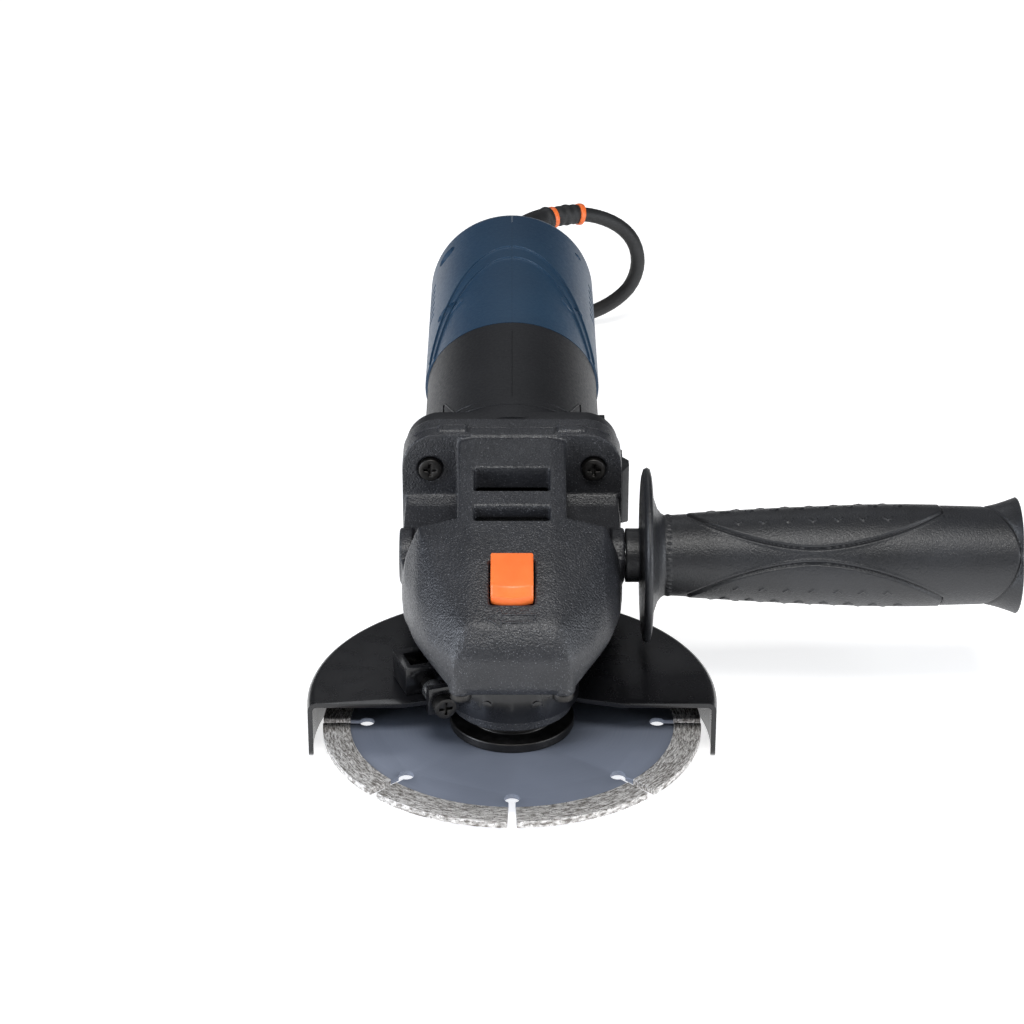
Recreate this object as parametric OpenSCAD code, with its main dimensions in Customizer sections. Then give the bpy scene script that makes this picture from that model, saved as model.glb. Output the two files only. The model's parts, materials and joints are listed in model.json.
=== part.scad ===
// Corded angle grinder for 125 mm discs, in millimetres.
// Origin: on the spindle axis, in the plane where the disc seats against the inner flange.
// +Z up the spindle, +Y back along the motor, +X towards the side handle.

/* [Disc and spindle] */
// Diameter of the cutting disc
disc_d = 125; // [115:1:125]
// Thickness of the disc's steel core
disc_core_t = 1.6; // [1.2:0.1:1.8]
// Number of rim segments, with a slot between each two
segment_count = 8; // [8:1:10]
// Diameter of the spindle thread
spindle_thread_d = 14; // [13:0.5:14]

/* [Gears] */
// Teeth on the large bevel gear
ring_teeth = 36; // [36:1:36]
// Teeth on the small bevel gear
pinion_teeth = 11; // [11:1:11]

/* [Housings] */
// Height of the motor axis above the disc
motor_z = 48; // [47:1:49]
// Outer radius of the motor housing
housing_r = 31.4; // [31:0.1:32]
// Outer radius of the rear cover
cover_r = 32.4; // [32:0.1:33]
// Wall thickness of the plastic housings
wall = 2.5; // [2:0.1:3]
// Rear end of the blue cover
cover_end_y = 266; // [262:1:268]

/* [Guard] */
// Outer diameter of the guard
guard_d = 135; // [134:1:138]
// Height of the guard plate's top face above the disc
guard_top_z = 12; // [11:0.5:12]
// Depth of the guard's skirt below the disc
guard_bottom_z = -9; // [-9:0.5:-9]
// Sheet thickness of the guard
guard_t = 1.6; // [1.2:0.1:2]

/* [Side handle] */
// Distance of the handle axis behind the spindle
handle_y = 31; // [30:1:32]
// Height of the handle axis above the disc
handle_z = 46; // [45:1:47]
// Far end of the handle
handle_end_x = 168; // [160:1:175]

/* [Cord] */
// Diameter of the mains cord
cord_d = 6.2; // [6:0.1:6.4]

/* [Hidden] */
$fn = 64;

black = "#26282b";
blue = "#27405f";
orange = "#f2611c";
steel = "#b4b6b8";
dark_steel = "#6d6f72";
copper = "#b06a3a";
eps = 0.02;
run_gap = 0.04;
floor_z = guard_bottom_z;
skin_gap = 0.35;

// Gear case
case_bottom = 26.5;
case_front = -30;
flange_front = 52;
flange_back = 65;
flange_half_w = 37;
flange_top = 80.6;
flange_bottom = 14.5;
chamber_r = 25.5;
chamber_top = 45;
pin_y = -12;
pin_r = 2.2;
lock_travel = 3.8;
button_floor = 48;
button_bottom = button_floor + lock_travel + 0.4;
button_half_w = 6.85;
spring_top = 56;
socket_r = 4.05;
socket_depth = 14;
case_screw_x = 27.5;
case_screw_dz = 20;

// Bevel gears: every tooth points at the spot where the two axes cross
apex = [0, 0, motor_z];
mesh_out = 22.5;
mesh_in = 15.5;
ring_web_top = 40.5;
pinion_angle = atan(pinion_teeth / ring_teeth);
tooth_share = 0.35;
addendum = 0.045;
dedendum = 0.062;

// Spindle stack
neck_r = 20;
neck_bottom = 8;
bearing_z = 14;

// Motor stack along Y
front_bearing_y = 30;
fan_y = 57;
core_y = 80;
core_len = 38;
commutator_y = 127;
brush_y = 135;
rear_bearing_y = 148.5;
housing_end_y = 164;
part_slope = 0.37;
housing_in = housing_r - wall;
cover_in = cover_r - wall;

// Cover screws: distance behind the spindle and height
cover_screw_spots = [[190, 68], [250, 67], [200, 28], [250, 29]];

// Clamp screw of the guard: where it starts and the way it runs
clamp_start = [-22, -17];
clamp_turn = 109.7;
clamp_z = 15.8;

// Cord route, from the boot's tip to the hank
cord_r = cord_d / 2;
cord_route = [[16, 344, 48], [22, 347.5, 48], [28, 350.5, 47.4], [34, 353, 46], [40, 355, 43.6], [46, 356.5, 40],
    [51, 357.5, 35], [54, 358, 29], [55, 358.3, 22.5], [54, 358.5, 16], [51, 358.8, 9.8], [46, 359, 4.6],
    [40, 359, 0.6], [33, 359, -2.4], [26, 359, -4.4], [19, 359, -5.5], [14, 359, -5.8]];
hank_straight = 93;
hank_r = 4.5 * cord_d;
hank_y = 359 + cord_r - hank_r - hank_straight / 2;
hank_height = 3 * cord_d;

// --- Helpers ---------------------------------------------------------------

// A cylinder along +Y that starts at y0 on the motor axis
module rod_y(r, len, y0, x = 0, z = motor_z) {
    translate([x, y0, z]) rotate([-90, 0, 0]) cylinder(r = r, h = len);
}

// A tube along +Y on the motor axis
module tube_y(r, bore, len, y0) {
    difference() {
        rod_y(r, len, y0);
        rod_y(bore, len + 2, y0 - 1);
    }
}

// A cylinder along +X
module rod_x(r, len, x0, y, z) {
    translate([x0, y, z]) rotate([0, 90, 0]) cylinder(r = r, h = len);
}

// A ring on the spindle axis
module ring_z(r, bore, h, z0) {
    difference() {
        translate([0, 0, z0]) cylinder(r = r, h = h);
        translate([0, 0, z0 - 1]) cylinder(r = bore, h = h + 2);
    }
}

// An outline drawn in Y and Z, extruded in X on both sides of the middle
module side_plate(points, half) {
    translate([-half, 0, 0]) rotate([90, 0, 90]) linear_extrude(2 * half) polygon(points);
}

// An outline given for +X and mirrored to -X, extruded up from z0
module mirrored_slab(points, z0, h) {
    far = [for (i = [len(points) - 1:-1:0]) [-points[i][0], points[i][1]]];
    translate([0, 0, z0]) linear_extrude(h) polygon(concat(points, far));
}

// A rectangle with round corners, from four circles and two bars
module round_rect(half_w, low, high, r) {
    for (x = [-half_w + r, half_w - r]) for (y = [low + r, high - r]) translate([x, y]) circle(r);
    translate([-half_w + r, low]) square([2 * (half_w - r), high - low]);
    translate([-half_w, low + r]) square([2 * half_w, high - low - 2 * r]);
}

// A plate with round corners across the motor axis, from y0 back
module cross_plate(half_w, low, high, r, y0, t) {
    translate([0, y0 + t, 0]) rotate([90, 0, 0]) linear_extrude(t) round_rect(half_w, low, high, r);
}

// A cross-head screw along +Y with its head at the front
module screw_y(x, y, z, head_r, head_h, shank_r, len) {
    difference() {
        union() {
            rod_y(head_r, head_h, y, x, z);
            rod_y(shank_r, len, y + head_h - eps, x, z);
        }
        for (a = [0, 90]) translate([x, y, z]) rotate([0, a, 0]) cube([head_r * 1.1, head_h, 0.9], center = true);
    }
}

// Bevel gear teeth about +Z with the apex at the origin: each one narrows towards the apex
module bevel_teeth(count, cone, near, far, start) {
    root = -dedendum * 1.1;
    root_w = near * (sin(cone) + root * cos(cone)) * tan(360 / count * tooth_share * 0.72);
    tip_w = near * (sin(cone) + addendum * cos(cone)) * tan(360 / count * tooth_share * 0.32);
    for (i = [0:count - 1]) rotate([0, 0, start + i * 360 / count]) rotate([0, cone, 0]) translate([0, 0, near])
        linear_extrude(far - near, scale = far / near)
            polygon([[root * near, -root_w], [root * near, root_w], [addendum * near, tip_w], [addendum * near, -tip_w]]);
}

// A tube swept along a list of points, with its radius running from r to r_end
function unit(v) = v / norm(v);
function heading(path, i) = unit(path[min(i + 1, len(path) - 1)] - path[max(i - 1, 0)]);
function ring_at(p, dir, r, sides) = let (side = unit(cross(dir, [0, 0.02, 1])), up = cross(side, dir))
    [for (k = [0:sides - 1]) p + r * (cos(360 * k / sides) * side + sin(360 * k / sides) * up)];
module swept_tube(path, r, sides = 10, r_end = 0) {
    n = len(path);
    taper = r_end > 0 ? r_end - r : 0;
    rings = [for (i = [0:n - 1]) each ring_at(path[i], heading(path, i), r + taper * i / (n - 1), sides)];
    walls = [for (i = [0:n - 2]) for (k = [0:sides - 1]) let (a = i * sides + k, b = i * sides + (k + 1) % sides)
        [b, b + sides, a + sides, a]];
    caps = [[for (k = [sides - 1:-1:0]) k], [for (k = [0:sides - 1]) (n - 1) * sides + k]];
    polyhedron(points = rings, faces = concat(walls, caps));
}

// --- Head ------------------------------------------------------------------

case_top = [[-28, 44], [-24, 49.5], [-2, 61.5], [12.7, 68.2], [24.5, 73], [36, 77], [54, 80]];
shoulder_x = [15.5, 18, 26, 30, 32, 33.5, 34];
shoulder_drop = 4.5;
case_low = [[18, -28.5], [21.3, -20], [25, -9], [28.5, 3], [31.5, 14], [34, 32], [34, 40]];
case_mid = [[18.5, -29.6], [27, -19], [32, -7], [35.5, 8], [36.6, 22], [36.6, 54]];
case_high = [[15, -24.2], [24.5, -15], [31, -5], [35.2, 9], [36.6, 22], [36.6, 54]];

module case_outside() {
    hull() {
        side_plate(concat([[54, case_bottom], [-28.5, case_bottom], [case_front, 29], [case_front, 39.5]], case_top), 13);
        for (i = [0:len(case_top) - 1]) for (s = [-1, 1])
            translate([s * shoulder_x[i], case_top[i][0], case_top[i][1] - shoulder_drop]) cube(0.2, center = true);
        mirrored_slab(case_low, case_bottom, 2);
        mirrored_slab(case_mid, 34, 6);
        mirrored_slab(case_high, 42, 7);
    }
    cross_plate(flange_half_w, flange_bottom, flange_top, 12, flange_front, flange_back - flange_front);
    side_plate([[34, case_bottom], [flange_front + 2, flange_bottom + 1.5], [flange_front + 2, 30], [34, 30]], 25);
}

// A step cut in each rear corner so that a screwdriver reaches the housing screws
module screw_pocket() {
    translate([29, 0, 0]) side_plate([[15, 48.5], [22, 49], [flange_front - 4, 56], [flange_front, 58.5],
        [flange_front, 90], [15, 90]], 11.2);
}

module vent_slot(y0, y1, z) {
    translate([-12.5, y0, z - 6]) cube([25, y1 - y0, 20]);
}

module turn_arrow() {
    translate([0, -22, 50.2]) rotate([29, 0, 0]) linear_extrude(3)
        polygon([[-7.6, 0], [-3, 2.4], [-3, 1], [7.6, 1], [6.6, 0], [7.6, -1], [-3, -1], [-3, -2.4]]);
}

module gear_case() {
    color(black) difference() {
        union() {
            difference() {
                case_outside();
                screw_pocket();
                mirror([1, 0, 0]) screw_pocket();
            }
            for (s = [-1, 1]) {
                rod_x(9.2, 4.4, s > 0 ? 33 : -37.4, handle_y, handle_z);
                translate([s * 16.3, -26, case_bottom]) cylinder(r = 3.9, h = 9);
                translate([s * 20 - 4.5, flange_front + 2, flange_top - 2]) cube([9, 5, 2.9]);
            }
        }
        translate([0, 0, case_bottom - 1]) cylinder(r = chamber_r, h = chamber_top - case_bottom - 3 + eps);
        translate([0, 0, chamber_top - 4]) cylinder(r1 = chamber_r, r2 = chamber_r - 3.5, h = 4);
        rod_y(12.8, front_bearing_y - 5, 5.2);
        rod_y(13.03, 9, front_bearing_y - 1);
        rod_y(11.5, 30, 30);
        rod_y(28.5, 20, flange_back - 9.5);
        translate([0, 0, 40]) cylinder(r = 6.03, h = 15);
        translate([-12, 10, 62.5]) cube([24, 50, 3.5]);
        translate([-12, 22, 64]) cube([24, 38, 5]);
        vent_slot(12.7, 18.6, 70);
        vent_slot(24.5, 35, 71);
        translate([0, pin_y, 40]) cylinder(r = pin_r + 0.05, h = 20);
        translate([-button_half_w - skin_gap, -17.35, button_floor]) cube([2 * (button_half_w + skin_gap), 10.25, 30]);
        translate([-button_half_w - skin_gap, -7.2, 56]) cube([2 * (button_half_w + skin_gap), 5.4, 20]);
        for (s = [-1, 1]) {
            rod_x(socket_r, socket_depth, s > 0 ? 37.4 - socket_depth : -37.4, handle_y, handle_z);
            translate([s * 16.3, -26, case_bottom - 1]) cylinder(r = 1.7, h = 10);
            translate([s * 27, 24, case_bottom - 1]) cylinder(r = 1.7, h = 10);
            for (dz = [-case_screw_dz, case_screw_dz]) rod_y(2.2, 20, flange_front - 3, s * case_screw_x, motor_z + dz);
            rod_y(4.4, 3, flange_front - 1.8, s * case_screw_x, motor_z + case_screw_dz);
            rod_y(4.4, 3, flange_front - 1.8, s * case_screw_x, motor_z - case_screw_dz);
        }
        turn_arrow();
    }
}

module bearing_box() {
    color(dark_steel) difference() {
        union() {
            translate([0, 0, neck_bottom]) cylinder(r = neck_r, h = 26.8 - neck_bottom);
            translate([0, 0, 26.4 - 1.2]) cylinder(r = 24.6, h = 1.2);
            translate([0, 0, 25.2]) cylinder(r = chamber_r - 0.1, h = 3.6);
        }
        translate([0, 0, bearing_z]) cylinder(r = 16.02, h = 30);
        translate([0, 0, neck_bottom - 1]) cylinder(r = 9.5, h = 30);
    }
}

module bearing_box_screws() {
    color(steel) for (s = [-1, 1]) for (p = [[16.3, -26], [27, 24]]) translate([s * p[0], p[1], case_bottom]) {
        difference() {
            translate([0, 0, -2.4]) cylinder(r = 3.4, h = 2.4 - eps);
            translate([0, 0, -2.4]) cube([4.4, 0.9, 1.6], center = true);
            translate([0, 0, -2.4]) cube([0.9, 4.4, 1.6], center = true);
        }
        translate([0, 0, -0.4]) cylinder(r = 1.66, h = 8);
    }
}

module spindle() {
    color(steel) union() {
        translate([0, 0, -8.6]) cylinder(r = spindle_thread_d / 2, h = 13.6);
        translate([0, 0, 4.8]) cylinder(r = 8.6, h = bearing_z - 4.9);
        translate([0, 0, bearing_z - 0.2]) cylinder(r = 6, h = 44 - bearing_z);
        translate([0, 0, 43]) cylinder(r = 4, h = 11.5);
    }
}

module ring_gear() {
    cone = 90 - pinion_angle;
    near = mesh_in / cos(pinion_angle);
    far = mesh_out / cos(pinion_angle);
    color(steel) difference() {
        union() {
            rotate_extrude() polygon([[5, 29], [9.2, 29], [9.2, 33], [mesh_out - 1, 33], [mesh_out + 0.6, 34.5],
                [mesh_out + 0.6, motor_z - far * (sin(pinion_angle) + dedendum * cos(pinion_angle))],
                [mesh_in - 0.9, motor_z - near * (sin(pinion_angle) + dedendum * cos(pinion_angle))],
                [mesh_in - 0.9, ring_web_top], [5, ring_web_top]]);
            translate(apex) rotate([180, 0, 0]) bevel_teeth(ring_teeth, cone, near, far, 90 + 180 / ring_teeth);
        }
        translate([0, 0, 20]) cylinder(r = 6.0, h = 40);
        for (a = [0:90:270]) rotate([0, 0, a]) translate([0, pin_y, 28]) cylinder(r = pin_r + 0.25, h = 20);
    }
}

module ball_bearing(outer, bore, width) {
    mid = (outer + bore) / 2;
    ring_t = (outer - bore) * 0.28;
    difference() {
        cylinder(r = outer, h = width);
        translate([0, 0, -1]) cylinder(r = outer - ring_t, h = width + 2);
    }
    difference() {
        cylinder(r = bore + ring_t, h = width);
        translate([0, 0, -1]) cylinder(r = bore, h = width + 2);
    }
    for (a = [0:40:320]) rotate([0, 0, a]) translate([mid, 0, width / 2]) sphere(r = (outer - bore) / 2 - ring_t - 0.05);
    translate([0, 0, 0.5]) difference() {
        cylinder(r = outer - ring_t + 0.01, h = 0.4);
        translate([0, 0, -1]) cylinder(r = bore + ring_t - 0.01, h = 3);
    }
}

module spindle_bearing() {
    color(steel) translate([0, 0, bearing_z]) ball_bearing(16, 6 + run_gap, 9.8);
}

module bearing_retainer() {
    color(dark_steel) ring_z(16, 12, 2, bearing_z + 10);
}

module needle_bearing() {
    color(steel) ring_z(6, 4 + run_gap, 8, 46);
}

module inner_flange() {
    color(dark_steel) difference() {
        union() {
            cylinder(r = 20.5, h = 3.2);
            translate([0, 0, 3.1]) cylinder(r = 14, h = 1.65);
            translate([0, 0, -1.2]) cylinder(r = 11.1, h = 1.4);
        }
        translate([0, 0, -5]) cylinder(r = spindle_thread_d / 2, h = 20);
    }
}

module disc_slot() {
    translate([0, -disc_d / 2 + 14.5, -5]) cylinder(r = 2.5, h = 10);
    translate([0, 0, -5]) linear_extrude(10)
        polygon([[-1, -disc_d / 2 + 14], [-1.5, -disc_d / 2 - 1], [1.5, -disc_d / 2 - 1], [1, -disc_d / 2 + 14]]);
}

module disc_core() {
    color("#6e7683") difference() {
        translate([0, 0, -disc_core_t]) cylinder(r = 53.5, h = disc_core_t, $fn = 120);
        translate([0, 0, -3]) cylinder(r = 11.13, h = 5);
        for (i = [0:segment_count - 1]) rotate([0, 0, i * 360 / segment_count]) disc_slot();
    }
}

module disc_segments() {
    color("#8f8a80") difference() {
        translate([0, 0, -disc_core_t - 0.4]) cylinder(r = disc_d / 2, h = disc_core_t + 0.8, $fn = 120);
        translate([0, 0, -5]) cylinder(r = 53.5, h = 10, $fn = 120);
        for (i = [0:segment_count - 1]) rotate([0, 0, i * 360 / segment_count]) disc_slot();
    }
}

module flange_nut() {
    color(dark_steel) difference() {
        union() {
            translate([0, 0, -disc_core_t - 3]) cylinder(r = 19.5, h = 3);
            translate([0, 0, -8.2]) cylinder(r = 12, h = 4);
        }
        translate([0, 0, -12]) cylinder(r = spindle_thread_d / 2, h = 20);
        for (a = [0:90:270]) rotate([0, 0, a]) translate([15, 0, -12]) cylinder(r = 2.5, h = 10.2);
    }
}

module lock_button() {
    color(orange) difference() {
        side_plate([[-17, button_bottom], [-17, 55.4], [-15.2, 58.4], [-2.1, 64], [-2.1, 60.2], [-7.5, 60.2],
            [-7.5, button_bottom]], button_half_w);
        translate([0, pin_y, button_bottom - 1]) cylinder(r = 4, h = spring_top - button_bottom + 1);
        translate([0, pin_y, button_bottom]) cylinder(r = pin_r, h = 57.6 - button_bottom);
    }
}

module lock_pin() {
    color(steel) translate([0, pin_y, 42]) cylinder(r = pin_r, h = 15.6);
}

module lock_spring() {
    color(steel) for (i = [0:4]) translate([0, pin_y, button_floor + 0.45 + i * 1.78]) rotate_extrude()
        translate([3.2, 0]) circle(r = 0.4, $fn = 16);
}

// --- Guard -----------------------------------------------------------------

// The half disc that the guard covers, less its straight front edge
module guard_area(r, h, z0) {
    translate([0, 0, z0]) linear_extrude(h) intersection() {
        circle(r, $fn = 120);
        union() {
            translate([-80, -9]) square([160, 90]);
        }
    }
}

module guard() {
    r = guard_d / 2;
    color(black) difference() {
        guard_area(r, guard_top_z - guard_bottom_z, guard_bottom_z);
        translate([0, 0, guard_bottom_z - 1]) cylinder(r = r - guard_t, h = guard_top_z - guard_t - guard_bottom_z + 1, $fn = 120);
        translate([0, 0, guard_top_z - 5]) cylinder(r = neck_r + run_gap, h = 10);
    }
}

// The direction along the clamp screw, as a frame: X runs with the screw, Y points out from the spindle
module at_clamp() {
    translate([clamp_start[0], clamp_start[1], clamp_z]) rotate([0, 0, clamp_turn]) children();
}

module guard_band() {
    lug_low = guard_top_z - clamp_z + 0.3;
    color(black) difference() {
        union() {
            ring_z(22, neck_r + run_gap, 24.5 - guard_top_z, guard_top_z + 0.05);
            at_clamp() {
                translate([1.6, -9.5, lug_low]) cube([3, 14, 9.4]);
                translate([0, 0, lug_low]) linear_extrude(9.4) polygon([[16.5, -9], [19.1, -9], [19.1, 5],
                    [27.5, 5], [27.5, -4.2], [30.5, -4.2], [30.5, 7.5], [16.5, 7.5]]);
            }
            for (s = [-1, 1]) rotate([0, 0, s * 21]) translate([0, -21.4, 18]) rotate([90, 0, 0]) cylinder(r = 1.7, h = 1.1);
        }
        translate([0, 0, guard_top_z - 1]) cylinder(r = neck_r + run_gap, h = 30);
        at_clamp() {
            translate([5.6, -16, -12]) cube([9.5, 14, 30]);
            translate([-4, 0, 0]) rotate([0, 90, 0]) cylinder(r = 2.3, h = 50);
        }
    }
}

module clamp_screw() {
    color(dark_steel) at_clamp() difference() {
        rotate([0, 90, 0]) union() {
            translate([0, 0, -2.1]) cylinder(r = 3.5, h = 3.6);
            cylinder(r = 2.3, h = 36);
        }
        translate([-2.1, 0, 0]) cube([3, 4.6, 1], center = true);
        translate([-2.1, 0, 0]) cube([3, 1, 4.6], center = true);
    }
}

module clamp_nut() {
    color(steel) at_clamp() {
        translate([5, 0, 0]) rotate([0, 90, 0]) difference() {
            cylinder(r = 3.6, h = 7);
            translate([0, 0, -1]) cylinder(r = 2.3, h = 20);
        }
        translate([30.6, 0, 0]) rotate([0, 90, 0]) difference() {
            cylinder(r = 3.7, h = 3.2, $fn = 6);
            translate([0, 0, -1]) cylinder(r = 2.3, h = 20);
        }
    }
}

// --- Motor -----------------------------------------------------------------

// The slanted cut between the black housing and the blue cover, as a block that reaches back
module behind_cut(y_shift) {
    side_plate([[housing_end_y + y_shift - 40 * part_slope, motor_z + 40], [housing_end_y + y_shift + 40 * part_slope, motor_z - 40],
        [400, motor_z - 40], [400, motor_z + 40]], 50);
}

module motor_housing() {
    color(black) difference() {
        union() {
            rod_y(housing_r, 120, flange_back);
            cross_plate(flange_half_w - 0.8, flange_bottom + 0.6, flange_top - 0.8, 12, flange_back + 0.02, 7);
            for (s = [-1, 1]) for (dz = [-case_screw_dz, case_screw_dz])
                rod_y(5, 16, flange_back + 2, s * case_screw_x * 0.98, motor_z + dz * 0.98);
            intersection() {
                rod_y(housing_r + 0.9, 17, flange_back + 2);
                translate([-18, 60, motor_z]) cube([36, 30, 40]);
            }
            translate([28, 76, motor_z - 17]) cube([5.2, 44, 26]);
        }
        difference() {
            behind_cut(0);
            rod_y(cover_in - 0.15, 100, 100);
        }
        behind_cut(4);
        rod_y(housing_in, 130, flange_back - 1);
        for (s = [-1, 1]) for (dz = [-case_screw_dz, case_screw_dz])
            rod_y(1.8, 14, flange_back - 1, s * case_screw_x, motor_z + dz);
        for (s = [-1, 1]) for (i = [0:2]) translate([s * 32, 132 + i * 7, motor_z - 9]) cube([9, 3, 18], center = true);
        translate([26, 80, motor_z - 6]) cube([10, 16, 4]);
    }
    color(black) difference() {
        rod_y(housing_in + 0.3, 3, 144.6);
        rod_y(12.6, 5, 144);
        translate([26.8, 144, motor_z - 5.8]) cube([3, 5, 3.6]);
        for (a = [45:90:315]) translate([0, 0, motor_z]) rotate([0, a, 0]) translate([20.5, 143, 0]) rotate([-90, 0, 0]) cylinder(r = 5, h = 6);
    }
    color(black) tube_y(14, 11.05, 11, 144.6);
    color(black) for (a = [45:90:315]) translate([0, 0, motor_z]) rotate([0, a, 0])
        translate([27.6, core_y, -2]) cube([1.6, core_len, 4]);
}

module housing_screws() {
    color(dark_steel) for (s = [-1, 1]) for (dz = [-case_screw_dz, case_screw_dz])
        screw_y(s * case_screw_x, flange_front - 1.6, motor_z + dz, 3.9, 2.8, 1.75, 24);
}

module cover_shell() {
    difference() {
        union() {
            rod_y(cover_r, cover_end_y - 6 - 140, 140);
            translate([0, cover_end_y - 6 - eps, motor_z]) rotate([-90, 0, 0]) rotate_extrude()
                polygon(concat([[0, 0]], [for (a = [0:15:90]) [cover_r - 6 + 6 * cos(a), 6 * sin(a)]], [[0, 6]]));
        }
        difference() {
            translate([0, -0.12, 0]) rod_y(80, 160, 20);
            behind_cut(0.12);
        }
        rod_y(cover_in, cover_end_y - wall - 130, 130);
        rod_y(7.2, 20, cover_end_y - 15);
        for (s = [-1, 1]) for (i = [0:5]) for (dz = [-7, 7])
            translate([s * 32, 208 + i * 6, motor_z + dz]) cube([12, 2.4, 10], center = true);
        cover_panel_step();
    }
}

// The raised horseshoe on top of the cover: a shallow step along two slanted planes
module cover_panel_step() {
    for (k = [0, 1]) difference() {
        intersection() {
            rod_y(cover_r + 5, 120, 150);
            side_plate([[150, motor_z + 6 + k * 4], [227 - 9 * k, motor_z + 32.4], [227 - 9 * k, motor_z + 60], [150, motor_z + 60]], 50);
        }
        rod_y(cover_r - 0.45 - 0.45 * k, 140, 140);
    }
}

module cover_bosses() {
    for (p = cover_screw_spots) intersection() {
        rod_x(5.5, 60, -30, p[0], p[1]);
        rod_y(cover_r - 0.6, 140, 130);
    }
}

module cover_half(side) {
    difference() {
        union() {
            cover_shell();
            cover_bosses();
        }
        translate([side > 0 ? -100 + 0.02 : -0.02, 0, -50]) cube([100, 400, 200]);
        for (p = cover_screw_spots) {
            rod_x(1.6, 60, -30, p[0], p[1]);
            rod_x(4, 40, -48, p[0], p[1]);
        }
        rod_y(cover_in, 54.5, 130);
        rod_y(10.2, 6.2, cover_end_y - 12);
    }
}

module rear_cover_left() {
    color(blue) cover_half(-1);
}

module rear_cover_right() {
    color(blue) cover_half(1);
}

module cover_screws() {
    color(dark_steel) for (p = cover_screw_spots) difference() {
        union() {
            rod_x(3.4, 2.4, -8 - 2.4, p[0], p[1]);
            rod_x(1.55, 22, -8.1, p[0], p[1]);
        }
        translate([-10.4, p[0], p[1]]) cube([2, 4.4, 0.9], center = true);
        translate([-10.4, p[0], p[1]]) cube([2, 0.9, 4.4], center = true);
    }
}

module armature_shaft() {
    color(steel) union() {
        rod_y(3, 14.5, 8.4);
        rod_y(5, rear_bearing_y - 22.8 - 0.2, 22.8);
        rod_y(3.5, 6.5, rear_bearing_y - 0.3);
    }
}

module armature_core() {
    color(dark_steel) difference() {
        rod_y(17.2, core_len, core_y);
        rod_y(5, core_len + 2, core_y - 1);
        for (a = [0:30:330]) translate([0, core_y - 1, motor_z]) rotate([0, a, 0]) translate([15.6, 0, -1]) cube([5, core_len + 2, 2]);
    }
}

module armature_windings() {
    color(copper) {
        tube_y(15, 5, 7, core_y - 7.02);
        tube_y(15, 5, 7, core_y + core_len + 0.02);
    }
}

module commutator() {
    color(copper) difference() {
        rod_y(11.5, 14, commutator_y);
        rod_y(5, 20, commutator_y - 1);
        for (a = [0:15:345]) translate([0, commutator_y - 1, motor_z]) rotate([0, a, 0]) translate([10.8, 0, -0.25]) cube([3, 20, 0.5]);
    }
}

module cooling_fan() {
    color(black) difference() {
        union() {
            rod_y(9, 12, fan_y);
            rod_y(26.5, 1.6, fan_y + 10.4);
            for (a = [0:30:330]) translate([0, fan_y + 2, motor_z]) rotate([0, a, 0]) translate([8.5, 0, -0.7]) cube([17.5, 9, 1.4]);
        }
        rod_y(5, 20, fan_y - 1);
    }
}

module pinion() {
    near = mesh_in / cos(pinion_angle);
    far = mesh_out / cos(pinion_angle);
    root = sin(pinion_angle) - dedendum * cos(pinion_angle);
    color(steel) difference() {
        union() {
            translate([0, near * (cos(pinion_angle) + dedendum * sin(pinion_angle)), motor_z]) rotate([-90, 0, 0])
                cylinder(r1 = near * root, r2 = far * root, h = (far - near) * (cos(pinion_angle) + dedendum * sin(pinion_angle)));
            rod_y(5.2, 3, mesh_out);
            rod_y(6.4, 5.2, mesh_out + 1.9);
            translate(apex) rotate([-90, 0, 0]) bevel_teeth(pinion_teeth, pinion_angle, near, far, 90);
        }
        rod_y(3, 20, 5);
        rod_y(5, 10, 22.8);
    }
}

module pinion_nut() {
    color(steel) difference() {
        rod_y(5.2, 5, 10);
        rod_y(3, 10, 8);
        for (a = [0:60:300]) translate([0, 7, motor_z]) rotate([0, a, 0]) translate([4.5, 0, -5]) cube([5, 10, 10]);
    }
}

module front_bearing() {
    color(steel) translate([0, front_bearing_y, motor_z]) rotate([-90, 0, 0]) ball_bearing(13, 5 + run_gap, 7.9);
}

module rear_bearing() {
    color(steel) translate([0, rear_bearing_y, motor_z]) rotate([-90, 0, 0]) ball_bearing(9.5, 3.5 + run_gap, 6);
}

module bearing_sleeve() {
    color(black) tube_y(11.03, 9.52, 6, rear_bearing_y);
}

module stator_core() {
    color(dark_steel) difference() {
        tube_y(27.5, 17.8, core_len, core_y);
        for (s = [-1, 1]) translate([s * 21.6, core_y + core_len / 2, motor_z]) cube([7, core_len + 2, 24], center = true);
    }
}

module field_coils() {
    color(copper) for (s = [-1, 1]) {
        translate([s * 21.6, core_y + core_len / 2, motor_z]) cube([6.6, core_len + 12, 23.6], center = true);
    }
}

module air_baffle() {
    color(black) tube_y(housing_in - 0.1, 22, 1.6, 71.2);
}

module brush_holders() {
    color("#c9a24a") for (s = [-1, 1]) translate([s * 20.3, brush_y, motor_z]) difference() {
        cube([13, 11, 8], center = true);
        cube([20, 8.2, 5.2], center = true);
    }
}

module carbon_brushes() {
    color("#2c2c2e") for (s = [-1, 1]) intersection() {
        translate([s * 15.8, brush_y, motor_z]) cube([9, 8, 5], center = true);
        difference() {
            rod_y(40, 20, brush_y - 10);
            rod_y(11.8, 22, brush_y - 11);
        }
    }
}

module brush_springs() {
    color(steel) for (s = [-1, 1]) for (i = [0:3]) translate([s * (20.9 + i * 1.5), brush_y, motor_z]) rotate([0, 90, 0])
        rotate_extrude() translate([1.9, 0]) circle(r = 0.35, $fn = 16);
}

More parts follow.
